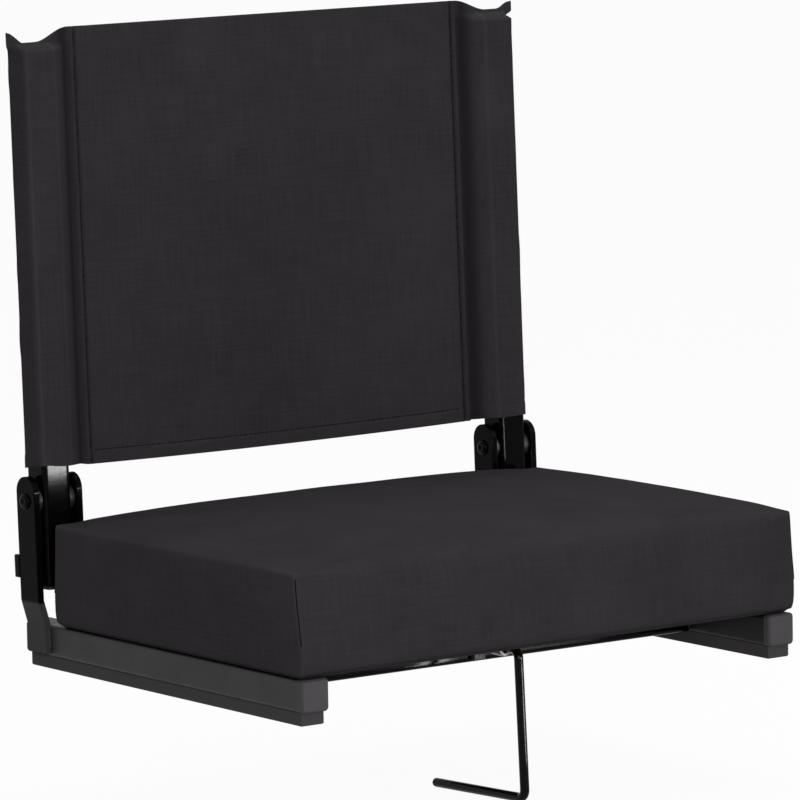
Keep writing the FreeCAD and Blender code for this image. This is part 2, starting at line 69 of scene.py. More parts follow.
# Camera, fitted to the photograph's edges
azimuth = math.radians(-35.96)
elevation = math.radians(7.39)
roll = math.radians(-1.0)
distance = 4.4654
aim = Vector((-0.00693, -0.00377, 0.18288))
back = Vector((math.sin(azimuth) * math.cos(elevation), -math.cos(azimuth) * math.cos(elevation),
               math.sin(elevation)))
level = Vector((math.cos(azimuth), math.sin(azimuth), 0))
upright = back.cross(level)
right = level * math.cos(roll) + upright * math.sin(roll)
up = upright * math.cos(roll) - level * math.sin(roll)
lens = bpy.data.cameras.new("camera")
lens.sensor_width = 36
lens.lens = 292.03
lens.clip_start = 0.1
lens.clip_end = 100
camera = bpy.data.objects.new("camera", lens)
axes = Matrix((right, up, back)).transposed().to_4x4()
camera.matrix_world = Matrix.Translation(aim + back * distance) @ axes
scene.collection.objects.link(camera)
scene.camera = camera


# Node helpers

def add(tree, kind, inputs=None, **settings):
    """New shader node; an input is a value, or a socket to link to it."""
    made = tree.nodes.new(kind)
    for key, value in settings.items():
        setattr(made, key, value)
    for key, value in (inputs or {}).items():
        if isinstance(value, bpy.types.NodeSocket):
            tree.links.new(value, made.inputs[key])
        else:
            made.inputs[key].default_value = value
    return made


def maths(tree, operation, first, second=0.0):
    """Socket with the result of a Math node."""
    return add(tree, "ShaderNodeMath", {0: first, 1: second}, operation=operation).outputs[0]


def span(tree, value, low, high, out_low, out_high):
    """Socket with a value carried from one range to another."""
    inputs = {"Value": value, "From Min": low, "From Max": high, "To Min": out_low, "To Max": out_high}
    return add(tree, "ShaderNodeMapRange", inputs).outputs["Result"]


def mottle(tree, place, scale, detail=2.0, roughness=0.5):
    """Socket with noise at a number of cells to the metre."""
    inputs = {"Vector": place, "Scale": scale, "Detail": detail, "Roughness": roughness}
    return add(tree, "ShaderNodeTexNoise", inputs).outputs["Fac"]


def blend_colours(tree, factor, first, second):
    """Socket with a colour between two, each a colour or a socket."""
    made = add(tree, "ShaderNodeMix", {"Factor": factor}, data_type="RGBA")
    ends = [s for s in made.inputs if s.type == "RGBA"]
    for socket, colour in zip(ends, (first, second)):
        if isinstance(colour, bpy.types.NodeSocket):
            tree.links.new(colour, socket)
        else:
            socket.default_value = (*colour, 1)
    return next(s for s in made.outputs if s.type == "RGBA")


def material(name, **sockets):
    """New material; returns it with its tree and its shader."""
    made = bpy.data.materials.new(name)
    made.use_nodes = True
    shader = made.node_tree.nodes["Principled BSDF"]
    for key, value in sockets.items():
        shader.inputs[key.replace("_", " ")].default_value = value
    return made, made.node_tree, shader


def object_place(tree):
    """Socket with the place in the object's own frame."""
    return add(tree, "ShaderNodeTexCoord").outputs["Object"]


def shade(colour, factor):
    """Colour made lighter or darker by a factor."""
    return tuple(factor * c for c in colour)


def from_line(tree, side, across, width):
    """Socket with the distance from a line to either side of the middle plane, in widths of that line."""
    off = maths(tree, "SUBTRACT", maths(tree, "ABSOLUTE", side), across)
    return maths(tree, "DIVIDE", off, width)


def seen_plainly(tree):
    """Socket that is 1 for rays from the camera, from a reflection or through a clear surface."""
    rays = add(tree, "ShaderNodeLightPath").outputs
    seen = maths(tree, "MAXIMUM", rays["Is Camera Ray"], rays["Is Glossy Ray"])
    return maths(tree, "MAXIMUM", seen, rays["Is Transmission Ray"])


# Light, floor and background

plain_white = (1, 1, 1, 1)
ambient_strength = 0.47
floor_grey = (0.6, 0.6, 0.6, 1)
floor_glow_share = 0.95
floor_radius = 40
floor_gap = 0.6 * MM

world = bpy.data.worlds.new("studio")
world.use_nodes = True
scene.world = world
tree = world.node_tree
tree.nodes.clear()
seen = seen_plainly(tree)
ambient = add(tree, "ShaderNodeBackground", {"Color": plain_white, "Strength": ambient_strength})
white = add(tree, "ShaderNodeBackground", {"Color": plain_white, "Strength": 1.0})
mixed = add(tree, "ShaderNodeMixShader", {0: seen, 1: ambient.outputs[0], 2: white.outputs[0]})
add(tree, "ShaderNodeOutputWorld", {"Surface": mixed.outputs[0]})

floor_paint, tree, shader = material("floor_paint", Base_Color=floor_grey, Roughness=0.9)
shader.inputs["Specular IOR Level"].default_value = 0.1
glow = add(tree, "ShaderNodeEmission", {"Color": plain_white, "Strength": 1.0})
share = maths(tree, "MULTIPLY", seen_plainly(tree), floor_glow_share)
mixed = add(tree, "ShaderNodeMixShader", {0: share, 1: shader.outputs[0], 2: glow.outputs[0]})
tree.links.new(mixed.outputs[0], tree.nodes["Material Output"].inputs["Surface"])


def stage_floor(height, radius):
    """Round floor under the hook."""
    shape = bmesh.new()
    bmesh.ops.create_circle(shape, cap_ends=True, segments=96, radius=radius)
    mesh = bpy.data.meshes.new("floor")
    shape.to_mesh(mesh)
    shape.free()
    mesh.materials.append(floor_paint)
    made = bpy.data.objects.new("floor", mesh)
    made.location.z = height
    scene.collection.objects.link(made)


stage_floor(cad_box[0].z - floor_gap, floor_radius)


def softbox(name, place, target, width, height, power, gloss_only=False):
    """Area lamp turned to a point, unseen by the camera; a gloss card shows in reflections alone."""
    lamp = bpy.data.lights.new(name, "AREA")
    lamp.shape = "RECTANGLE"
    lamp.size = width
    lamp.size_y = height
    lamp.energy = power
    made = bpy.data.objects.new(name, lamp)
    made.location = place
    made.rotation_mode = "QUATERNION"
    made.rotation_quaternion = (Vector(target) - Vector(place)).to_track_quat("-Z", "Y")
    made.visible_camera = False
    made.visible_diffuse = not gloss_only
    scene.collection.objects.link(made)


# Each lamp or card: name, place, target, width, height, and power in watts
lamps = (
    ("key", (-0.95, -2.0, 0.55), (0, 0, 0.15), 0.9, 0.9, 31),
    ("right", (0.6, -0.45, 0.5), (0.15, 0, 0.15), 0.4, 0.4, 1.0),
    ("left", (-1.4, 0.2, 0.7), (-0.2, 0, 0.15), 1.0, 1.0, 2),
    ("top", (0.3, 0.32, 1.7), (0.05, 0, 0.1), 1.0, 1.0, 21),
)
gloss_cards = (
    ("card_front", (0.426, -0.835, 0.045), (-0.2, 0.14, 0.1), 0.08, 0.16, 7),
    ("card_low", (0.23, -0.483, -0.061), (-0.06, -0.078, 0.004), 0.3, 0.008, 0.16),
    ("card_hook", (0.07, -0.222, -0.03), (0, -0.125, -0.03), 0.02, 0.07, 0.3),
)
for lamp_entry in lamps:
    softbox(*lamp_entry)
for card_entry in gloss_cards:
    softbox(*card_entry, gloss_only=True)


# Materials of the metal, plastic, rubber and wood

def painted(name, colour, gloss, shine, peel, edge, low_painted_light=None, outward_painted_light=None):
    """Black paint on steel: orange peel, soft edges, a little dust.

    Where these are given, it is rougher and lighter below a height, the lighter colour being painted light;
    and the faces turned outward are lighter, as painted light, with the inward faces left dark as painted
    shade.
    """
    made, tree, shader = material(name)
    place = object_place(tree)
    cloud = mottle(tree, place, 55, 4, 0.6)
    dust = mottle(tree, place, 700, 2, 0.5)
    tone = blend_colours(tree, cloud, shade(colour, 0.8), shade(colour, 1.25))
    rough = span(tree, cloud, 0.3, 0.7, gloss * 0.8, gloss * 1.25)
    # Painted light: below a height the colour is lighter, and the paint is also rougher
    if low_painted_light:
        painted_light_below, painted_light_colour = low_painted_light
        height = add(tree, "ShaderNodeSeparateXYZ", {0: place}).outputs[2]
        ragged = maths(tree, "ADD", height, maths(tree, "MULTIPLY", cloud, 2 * MM))
        low = span(tree, ragged, painted_light_below, painted_light_below + 1.5 * MM, 1.0, 0.0)
        tone = blend_colours(tree, low, tone, painted_light_colour)
        rough = maths(tree, "ADD", rough, maths(tree, "MULTIPLY", low, 0.3))
    # Painted light: faces turned outward are lighter, and inward faces stay dark as painted shade
    if outward_painted_light:
        side = add(tree, "ShaderNodeSeparateXYZ", {0: place}).outputs[0]
        normal = add(tree, "ShaderNodeTexCoord").outputs["Normal"]
        facing = add(tree, "ShaderNodeSeparateXYZ", {0: normal}).outputs[0]
        outward = maths(tree, "MULTIPLY", facing, maths(tree, "SIGN", side))
        patchy = maths(tree, "ADD", outward, maths(tree, "MULTIPLY", cloud, 0.2))
        painted_light_share = span(tree, patchy, 0.5, 0.9, 0.0, 1.0)
        tone = blend_colours(tree, painted_light_share, tone, outward_painted_light)
    tree.links.new(tone, shader.inputs["Base Color"])
    speck = span(tree, dust, 0.62, 0.75, 0.0, 0.12)
    tree.links.new(maths(tree, "ADD", rough, speck), shader.inputs["Roughness"])
    soft = add(tree, "ShaderNodeBevel", {"Radius": edge}, samples=6)
    skin = mottle(tree, place, 420, 1, 0.4)
    bump = add(tree, "ShaderNodeBump", {"Strength": peel, "Distance": 0.2 * MM, "Height": skin,
                                        "Normal": soft.outputs[0]})
    tree.links.new(bump.outputs[0], shader.inputs["Normal"])
    shader.inputs["Specular IOR Level"].default_value = shine
    return made


# The runners' outward faces get painted light, and their inward faces stay dark as painted shade
frame_paint = painted("frame_paint", (0.004, 0.0038, 0.004), 0.42, 0.1, 0.25, 0.5 * MM,
                      outward_painted_light=(0.0255, 0.0238, 0.0255))
hinge_black = (0.0014, 0.0013, 0.0015)
hinge_paint = painted("hinge_paint", hinge_black, 0.09, 0.035, 0.05, 1.8 * MM)
# The arms are lighter below 47 mm as painted light, with rougher paint there
arm_paint = painted("arm_paint", hinge_black, 0.09, 0.024, 0.05, 1.0 * MM,
                    low_painted_light=(47 * MM, (0.03, 0.028, 0.03)))
hook_paint = painted("hook_paint", (0.0016, 0.0015, 0.0017), 0.1, 0.075, 0.05, 1.2 * MM)


def moulded(name, colour, gloss, shine, grain, scale):
    """Moulded plastic or rubber with a fine grain."""
    made, tree, shader = material(name)
    place = object_place(tree)
    cloud = mottle(tree, place, 90, 3, 0.6)
    tone = blend_colours(tree, cloud, shade(colour, 0.85), shade(colour, 1.18))
    tree.links.new(tone, shader.inputs["Base Color"])
    tree.links.new(span(tree, cloud, 0.3, 0.7, gloss - 0.06, gloss + 0.08), shader.inputs["Roughness"])
    soft = add(tree, "ShaderNodeBevel", {"Radius": 0.4 * MM}, samples=4)
    skin = mottle(tree, place, scale, 2, 0.6)
    bump = add(tree, "ShaderNodeBump", {"Strength": grain, "Distance": 0.15 * MM, "Height": skin,
                                        "Normal": soft.outputs[0]})
    tree.links.new(bump.outputs[0], shader.inputs["Normal"])
    shader.inputs["Specular IOR Level"].default_value = shine
    return made


cap_plastic = moulded("cap_plastic", (0.037, 0.0345, 0.037), 0.5, 0.07, 0.35, 2600)
foot_rubber = moulded("foot_rubber", (0.032, 0.030, 0.032), 0.75, 0.08, 0.8, 1500)
washer_nylon = moulded("washer_nylon", (0.014, 0.014, 0.015), 0.4, 0.4, 0.15, 2600)


def plated(name):
    """Dull zinc plate with faint brushing."""
    made, tree, shader = material(name, Metallic=1.0)
    place = object_place(tree)
    streak = add(tree, "ShaderNodeMapping", {"Vector": place, "Scale": (1, 12, 1)}).outputs[0]
    cloud = mottle(tree, streak, 260, 3, 0.6)
    tone = blend_colours(tree, cloud, (0.36, 0.36, 0.35), (0.56, 0.56, 0.54))
    tree.links.new(tone, shader.inputs["Base Color"])
    tree.links.new(span(tree, cloud, 0.3, 0.7, 0.3, 0.48), shader.inputs["Roughness"])
    bump = add(tree, "ShaderNodeBump", {"Strength": 0.15, "Distance": 0.1 * MM, "Height": cloud})
    tree.links.new(bump.outputs[0], shader.inputs["Normal"])
    return made


zinc = plated("zinc")


def plied(name):
    """Bare plywood: long grain on the faces, plies along the edges."""
    made, tree, shader = material(name)
    place = object_place(tree)
    long = add(tree, "ShaderNodeMapping", {"Vector": place, "Scale": (6, 90, 600)}).outputs[0]
    grain = mottle(tree, long, 3, 5, 0.65)
    fine = add(tree, "ShaderNodeMapping", {"Vector": place, "Scale": (40, 900, 900)}).outputs[0]
    pores = mottle(tree, fine, 1, 2)
    mixed = maths(tree, "ADD", maths(tree, "MULTIPLY", grain, 0.75), maths(tree, "MULTIPLY", pores, 0.25))
    tone = blend_colours(tree, mixed, (0.3, 0.19, 0.09), (0.6, 0.45, 0.27))
    tree.links.new(tone, shader.inputs["Base Color"])
    bump = add(tree, "ShaderNodeBump", {"Strength": 0.3, "Distance": 0.2 * MM, "Height": mixed})
    tree.links.new(bump.outputs[0], shader.inputs["Normal"])
    shader.inputs["Roughness"].default_value = 0.7
    return made


plywood = plied("plywood")


# Materials of the cloth

def woven(name, colour, pitch, relief, slub, highlight_lines, painted_shade_lines=()):
    """Plain weave laid on each face from its own side, with uneven yarns, a slight bloom and painted
    highlights along lines.

    Each highlight line is a painted highlight at a distance from the middle plane: that distance, its width,
    a height and its reach.
    Each line of painted shade darkens the cloth where it creases beside a seam: its distance, its width and
    its depth of tone.
    """
    made, tree, shader = material(name)
    place = object_place(tree)
    xyz = add(tree, "ShaderNodeSeparateXYZ", {0: place}).outputs
    normal = add(tree, "ShaderNodeTexCoord").outputs["Normal"]
    facing = add(tree, "ShaderNodeSeparateXYZ", {0: normal}).outputs
    weights = [maths(tree, "POWER", maths(tree, "ABSOLUTE", facing[k]), 6.0) for k in range(3)]
    total = maths(tree, "ADD", maths(tree, "ADD", weights[0], weights[1]), weights[2])
    turn = 2 * math.pi / pitch
    yarn_long = 28
    yarn_thin = 620
    lying_scale = (yarn_long, yarn_thin, 1)
    standing_scale = (yarn_thin, yarn_long, 1)
    checks = 0.0
    yarn = 0.0
    for weight, (first, second) in zip(weights, ((1, 2), (0, 2), (0, 1))):
        share = maths(tree, "DIVIDE", weight, total)
        weft = maths(tree, "SINE", maths(tree, "MULTIPLY", xyz[first], turn))
        warp = maths(tree, "SINE", maths(tree, "MULTIPLY", xyz[second], turn))
        flat = add(tree, "ShaderNodeCombineXYZ", {0: xyz[first], 1: xyz[second]}).outputs[0]
        lying = add(tree, "ShaderNodeMapping", {"Vector": flat, "Scale": lying_scale}).outputs[0]
        standing = add(tree, "ShaderNodeMapping", {"Vector": flat, "Scale": standing_scale}).outputs[0]
        rows = maths(tree, "MULTIPLY", mottle(tree, lying, 1, 3, 0.6), 0.5)
        posts = maths(tree, "MULTIPLY", mottle(tree, standing, 1, 3, 0.6), 0.5)
        crossed = maths(tree, "MULTIPLY", share, maths(tree, "MULTIPLY", weft, warp))
        spun = maths(tree, "MULTIPLY", share, maths(tree, "ADD", rows, posts))
        checks = maths(tree, "ADD", crossed, checks)
        yarn = maths(tree, "ADD", spun, yarn)
    cloud = mottle(tree, place, 16, 4, 0.55)
    tone = maths(tree, "ADD", maths(tree, "MULTIPLY", yarn, 0.65), maths(tree, "MULTIPLY", cloud, 0.35))
    tone = maths(tree, "ADD", tone, maths(tree, "MULTIPLY", checks, 0.05))
    tone = span(tree, tone, 0.36, 0.64, 0.0, 1.0)
    cloth = blend_colours(tree, tone, shade(colour, 1 - slub), shade(colour, 1 + slub))
    painted_light_share = 0.0
    # Painted highlights: lighter lines where the canvas's tube corners and the seat's top edges catch the
    # light
    for across, width, height, reach in highlight_lines:
        off = from_line(tree, xyz[0], across, width)
        rise = maths(tree, "DIVIDE", maths(tree, "SUBTRACT", xyz[2], height), reach)
        far = maths(tree, "ADD", maths(tree, "MULTIPLY", off, off), maths(tree, "MULTIPLY", rise, rise))
        painted_light_share = maths(tree, "ADD", maths(tree, "POWER", math.exp(-1), far), painted_light_share)
    painted_light_share = maths(tree, "MULTIPLY", painted_light_share, span(tree, cloud, 0.3, 0.7, 0.5, 1.0))
    cloth = blend_colours(tree, painted_light_share, cloth, shade(colour, 1.28))
    # Painted shade: darker lines where the cloth creases beside each seam and along each seam's groove
    for across, width, depth in painted_shade_lines:
        off = from_line(tree, xyz[0], across, width)
        shaded_share = maths(tree, "POWER", math.exp(-1), maths(tree, "MULTIPLY", off, off))
        cloth = blend_colours(tree, shaded_share, cloth, shade(colour, 1 - depth))
    tree.links.new(cloth, shader.inputs["Base Color"])
    tree.links.new(span(tree, yarn, 0.35, 0.65, 0.96, 0.84), shader.inputs["Roughness"])
    height = maths(tree, "ADD", maths(tree, "MULTIPLY", checks, 0.35), maths(tree, "MULTIPLY", yarn, 0.9))
    bump = add(tree, "ShaderNodeBump", {"Strength": relief, "Distance": 0.35 * MM, "Height": height})
    tree.links.new(bump.outputs[0], shader.inputs["Normal"])
    shader.inputs["Specular IOR Level"].default_value = 0.0
    shader.inputs["Sheen Weight"].default_value = 0.004
    shader.inputs["Sheen Roughness"].default_value = 0.45
    shader.inputs["Sheen Tint"].default_value = (1.0, 0.86, 1.0, 1)
    return made


# Painted highlights along the canvas's front corners over each tube
tube_corner_highlights = ((207.6 * MM, 0.7 * MM, 0.28, 1.0), (184.6 * MM, 1.2 * MM, 0.28, 1.0))
# Painted shade in the crease beside each seam and along the seam itself, on the canvas
seam_painted_shade = ((171.4 * MM, 4.8 * MM, 0.46), (161.2 * MM, 1.6 * MM, 0.3))
# Painted highlight along the seat's top side edges
seat_edge_highlights = ((209.0 * MM, 2.2 * MM, 101.5 * MM, 2.4 * MM),)
cloth_black = (0.0265, 0.0243, 0.0265)
back_canvas = woven("back_canvas", cloth_black, 1.1 * MM, 0.6, 0.2, tube_corner_highlights, seam_painted_shade)
seat_cloth = woven("seat_cloth", cloth_black, 0.8 * MM, 0.5, 0.16, seat_edge_highlights)


def thread_material(name, colour):
    """Polyester sewing thread with its twist."""
    made, tree, shader = material(name, Roughness=0.8)
    place = object_place(tree)
    twist = mottle(tree, place, 1800, 2, 0.6)
    tone = blend_colours(tree, twist, shade(colour, 0.6), colour)
    tree.links.new(tone, shader.inputs["Base Color"])
    bump = add(tree, "ShaderNodeBump", {"Strength": 0.4, "Distance": 0.1 * MM, "Height": twist})
    tree.links.new(bump.outputs[0], shader.inputs["Normal"])
    shader.inputs["Specular IOR Level"].default_value = 0.04
    return made


thread = thread_material("thread", (0.0045, 0.0042, 0.0045))


# Finishes on the CAD nodes

own_finish = {"front_cross_tube": hinge_paint, "rear_cross_tube": hinge_paint, "hook_hanger": hook_paint,
              "hanger_screws": hook_paint, "left_outer_arm": arm_paint, "left_inner_arm": arm_paint,
              "right_outer_arm": arm_paint, "right_inner_arm": arm_paint}
finishes = {"frame_paint": frame_paint, "hinge_paint": hinge_paint, "hook_paint": hook_paint,
            "cap_plastic": cap_plastic, "foot_rubber": foot_rubber, "washer_nylon": washer_nylon,
            "zinc": zinc, "plywood": plywood, "foam": seat_cloth, "seat_cloth": seat_cloth,
            "back_canvas": back_canvas}
for entry in frame["record"]["subparts"]:
    node = frame["nodes"][entry["node"]]
    finish = own_finish.get(entry["node"], finishes[entry["material_slot"]])
    if not node.data.materials:
        node.data.materials.append(finish)
    for index in range(len(node.data.materials)):
        node.data.materials[index] = finish


# Mesh helpers

def piece(name, points, faces, finish):
    """Smooth object from points and faces, linked to the scene."""
    mesh = bpy.data.meshes.new(name)
    mesh.from_pydata([tuple(p) for p in points], [], faces)
    mesh.materials.append(finish)
    mesh.polygons.foreach_set("use_smooth", [True] * len(mesh.polygons))
    mesh.update()
    made = bpy.data.objects.new(name, mesh)
    scene.collection.objects.link(made)
    return made


def cord_mesh(points, faces, path, radius, sides=6, swell=None):
    """Adds a closed round strand along a path to lists of points and faces."""
    start = len(points)
    for i, here in enumerate(path):
        ahead = path[min(i + 1, len(path) - 1)] - path[max(i - 1, 0)]
        ahead.normalize()
        helper = Vector((0, 0, 1)) if abs(ahead.z) < 0.9 else Vector((1, 0, 0))
        first = ahead.cross(helper).normalized()
        second = ahead.cross(first)
        grow = swell(i) if swell else 1.0
        for k in range(sides):
            angle = 2 * math.pi * k / sides
            points.append(here + (first * math.cos(angle) + second * math.sin(angle)) * radius * grow)
    for i in range(len(path) - 1):
        for k in range(sides):
            a = start + i * sides + k
            b = start + i * sides + (k + 1) % sides
            faces.append((a, b, b + sides, a + sides))
    faces.append(tuple(start + k for k in reversed(range(sides))))
    last = start + (len(path) - 1) * sides
    faces.append(tuple(last + k for k in range(sides)))


def smoothstep(low, high, value):
    """Eased share of the way from low to high, from 0 to 1."""
    share = min(1.0, max(0.0, (value - low) / (high - low)))
    return share * share * (3 - 2 * share)


# Pivot pins: turned rivets with a domed, dimpled head at each end

def lathe(name, profile, centre, finish, sides=40):
    """Closed turned piece along X from pairs of distance along the axis and radius."""
    points = []
    faces = []
    for along, radius in profile:
        for k in range(sides):
            angle = 2 * math.pi * k / sides
            points.append(centre + Vector((along, radius * math.cos(angle), radius * math.sin(angle))))
    for r in range(len(profile) - 1):
        for k in range(sides):
            a = r * sides + k
            b = r * sides + (k + 1) % sides
            faces.append((a, a + sides, b + sides, b))
    faces.append(tuple(range(sides)))
    last = (len(profile) - 1) * sides
    faces.append(tuple(last + k for k in reversed(range(sides))))
    return piece(name, points, faces, finish)


head_height = 2.6
head_profile = ((0, 3.6), (0, 5.4), (0.25, 5.6), (0.9, 5.45), (1.6, 4.95), (2.2, 4.1), (2.5, 3.2),
                (2.55, 2.5), (2.4, 2.0), (1.9, 1.6), (1.5, 1.2), (1.35, 0.6), (1.3, 0.2))
for word in ("left", "right"):
    low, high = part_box(word + "_pivot_pin")
    centre = Vector((low + high) / 2)
    shoulder = (high.x - low.x) / 2 - head_height * MM
    turned = [(shoulder + along * MM, radius * MM) for along, radius in head_profile]
    profile = [(-along, radius) for along, radius in reversed(turned)] + turned
    pin = lathe(word + "_rivet", profile, centre, hinge_paint)
    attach(pin, "seat_base")
    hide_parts(word + "_pivot_pin")


# Seat: a box of sewn cloth, crowned, blown up a little by a cloth simulation

half_width = 210.6 * MM
half_depth = 146.0 * MM
middle = -20.0 * MM
base = 31.1 * MM
rim = 103.3 * MM
crown_across = 5.0 * MM
crown_along = 2.4 * MM
corner_radius = 3.0 * MM
side_radius = 5.0 * MM
front_radius = 17.0 * MM
shrink = 0.6 * MM
hem_width = 210.5 * MM
hem_front = -166.0 * MM
hem_rear = 126.0 * MM


def seam_spacing(half, cell):
    """Grid lines from one edge to the other, close together by the edges' seams."""
    near = [half, half - 1.3 * MM, half - 3.6 * MM]
    count = int(2 * (near[-1] - cell) / cell)
    inner = [(1 - 2 * k / count) * (near[-1] - cell) for k in range(count + 1)]
    return sorted([-v for v in near] + inner + near)


lines_x = seam_spacing(half_width, 6 * MM)
lines_y = seam_spacing(half_depth, 6 * MM)
cells_x = len(lines_x) - 1
cells_y = len(lines_y) - 1


def outline(z):
    """Left, right, front and rear at a height: the front leans back, its foot bellies out and turns under."""
    share = min(1.0, max(0.0, (z - base) / (rim - base)))
    foot = 1 - smoothstep(0, 0.15, share)
    belly = 1 - smoothstep(0.15, 1, share)
    side = half_width + (0.7 * math.sin(math.pi * share) - 1.2 * foot) * MM
    left = 0.6 * belly * MM - side
    right = side - (1.0 + 2.8 * belly) * MM
    front = (-164.0 - 6.5 * belly + 3.0 * foot) * MM
    rear = (124.8 + 2.7 * belly - 2.0 * foot) * MM
    return left, right, front, rear


def edge_radius(i, j):
    """Radius of the top edge at a point of the border: small at the corners, large along the front."""
    if j in (0, cells_y):
        across = lines_x[i] / half_width
        if j == 0:
            return corner_radius + (front_radius - corner_radius) * (1 - across ** 4)
        return corner_radius + (side_radius - corner_radius) * (1 - across ** 2)
    along = lines_y[j] / half_depth
    return corner_radius + (side_radius - corner_radius) * (1 - along ** 2)


def plan(i, j, z, inset):
    """Plan position of a grid point at a height; inset is a share of each edge's radius."""
    left, right, front, rear = outline(z)
    low_x = left + inset * edge_radius(0, j)
    high_x = right - inset * edge_radius(0, j)
    low_y = front + inset * edge_radius(i, 0)
    high_y = rear - inset * edge_radius(i, cells_y)
    share_x = 0.5 + lines_x[i] / (2 * half_width)
    share_y = 0.5 + lines_y[j] / (2 * half_depth)
    return low_x + (high_x - low_x) * share_x, low_y + (high_y - low_y) * share_y


def crown(i, j):
    """Height of the seat's top, with a shallow valley by each side where the folded back rests."""
    across = lines_x[i] / half_width
    along = lines_y[j] / half_depth
    from_side = (1 - abs(across)) * half_width / MM
    valley = 0.8 * math.exp(-((from_side - 14) / 8) ** 2) * MM
    fall = 1.0 * smoothstep(0.75, 1, -along) * MM
    return rim + crown_across * (1 - abs(across) ** 3) + crown_along * (1 - along ** 2) - valley - fall


def border():
    """Grid indices round the rectangle, once round."""
    walk = [(i, 0) for i in range(cells_x)]
    walk += [(cells_x, j) for j in range(cells_y)]
    walk += [(cells_x - i, cells_y) for i in range(cells_x)]
    walk += [(0, cells_y - j) for j in range(cells_y)]
    return walk


def ring(height, inset=0.0):
    """Points once round the seat; height gives z from the grid indices."""
    points = []
    for i, j in border():
        z = height(i, j)
        x, y = plan(i, j, z, inset)
        points.append(Vector((x, y, z)))
    return points


def hem_place(i, j, inset):
    """Plan position of a grid point on the hem's rectangle, inset by a length."""
    x = (hem_width - inset) * lines_x[i] / half_width
    share = 0.5 + lines_y[j] / (2 * half_depth)
    return x, hem_front + inset + (hem_rear - hem_front - 2 * inset) * share


def hem_ring(inset, z):
    """Points once round the hem under the board."""
    return [Vector((*hem_place(i, j, inset), z)) for i, j in border()]


board_gap = 5.9 * MM
board_top = 41.3 * MM
hem_corner_height = 31.95 * MM
hem_top_height = 31.9 * MM
hem_top_insets = (14, 21.4, 22)
foot_height = base + 3.6 * MM
side_steps = 13
roll_steps = 6
# Inset and lift of each ring on the hem's underside and up to the foot, in mm
foot_profile = ((22.0, 0), (21, 0), (14, 0), (7, 0), (5.4, 0.2), (4.9, 1.0), (4.2, 1.8), (2.6, 2.2))


def side_height(share):
    """Height at a share of the way up the side, as a function of the grid indices."""
    return lambda i, j: foot_height + share * (crown(i, j) - edge_radius(i, j) - foot_height)


def roll_height(angle):
    """Height at an angle round the top edge, as a function of the grid indices."""
    return lambda i, j: crown(i, j) - edge_radius(i, j) * (1 - math.sin(angle))


def seat_rings():
    """Rings from the board's top edge, round the hem, up the sides and over the edge."""
    rings = [hem_ring(board_gap, board_top), hem_ring(board_gap, hem_corner_height)]
    for inset in hem_top_insets:
        rings.append(hem_ring(inset * MM, hem_top_height))
    for inset, lift in foot_profile:
        rings.append(hem_ring(inset * MM, base + lift * MM))
    rings.append(ring(lambda i, j: foot_height))
    for k in range(1, side_steps + 1):
        rings.append(ring(side_height(k / side_steps)))
    for k in range(1, roll_steps):
        angle = math.pi / 2 * k / roll_steps
        rings.append(ring(roll_height(angle), 1 - math.cos(angle)))
    return rings


def seat_mesh():
    """Points and faces of the closed seat, the points in a ring, and the number of rings."""
    rings = seat_rings()
    points = []
    for loop in rings:
        points += loop
    count = len(rings[0])
    faces = []
    for r in range(len(rings) - 1):
        for k in range(count):
            a = r * count + k
            b = r * count + (k + 1) % count
            faces.append((a, b, b + count, a + count))
    index = {("low",) + spot: k for k, spot in enumerate(border())}
    for level in ("low", "high"):
        for i in range(cells_x + 1):
            for j in range(cells_y + 1):
                key = (level, i, j)
                if key in index:
                    continue
                z = board_top if level == "low" else crown(i, j)
                x, y = hem_place(i, j, board_gap) if level == "low" else plan(i, j, z, 1.0)
                index[key] = len(points)
                points.append(Vector((x, y, z)))
    top = (len(rings) - 1) * count
    walk = border()
    for k in range(count):
        here = ("high",) + walk[k]
        after = ("high",) + walk[(k + 1) % count]
        faces.append((top + k, top + (k + 1) % count, index[after], index[here]))
    for i in range(cells_x):
        for j in range(cells_y):
            spots = ((i, j), (i + 1, j), (i + 1, j + 1), (i, j + 1))
            faces.append(tuple(index[("high",) + s] for s in spots))
            faces.append(tuple(index[("low",) + s] for s in reversed(spots)))
    return points, faces, count, len(rings)


points, faces, ring_count, ring_total = seat_mesh()
# The rings of the hem and the foot are held
held_rings = 14
low_grid_below = 45 * MM
held_points = held_rings * ring_count
rest = [p.copy() for p in points]
low_grid = [k for k, p in enumerate(points) if k >= ring_total * ring_count and p.z < low_grid_below]
corner_columns = (0, cells_x, cells_x + cells_y, 2 * cells_x + cells_y)
sewn = {r * ring_count + column for r in range(held_rings, ring_total) for column in corner_columns}
held = set(range(held_points)) | set(low_grid)


def inward(p):
    """Where a free point starts: a little inside the finished form."""
    share = smoothstep(base, base + 12 * MM, p.z)
    x = p.x * (1 - share * shrink / half_width)
    y = middle + (p.y - middle) * (1 - share * shrink / half_depth)
    return Vector((x, y, p.z - shrink * smoothstep(60 * MM, 95 * MM, p.z)))


start_points = [p if k in held else inward(p) for k, p in enumerate(points)]


blow_frames = 20
sideways_limit = 3.6 * MM
down_limit = 1.5 * MM
up_limit = 2.4 * MM


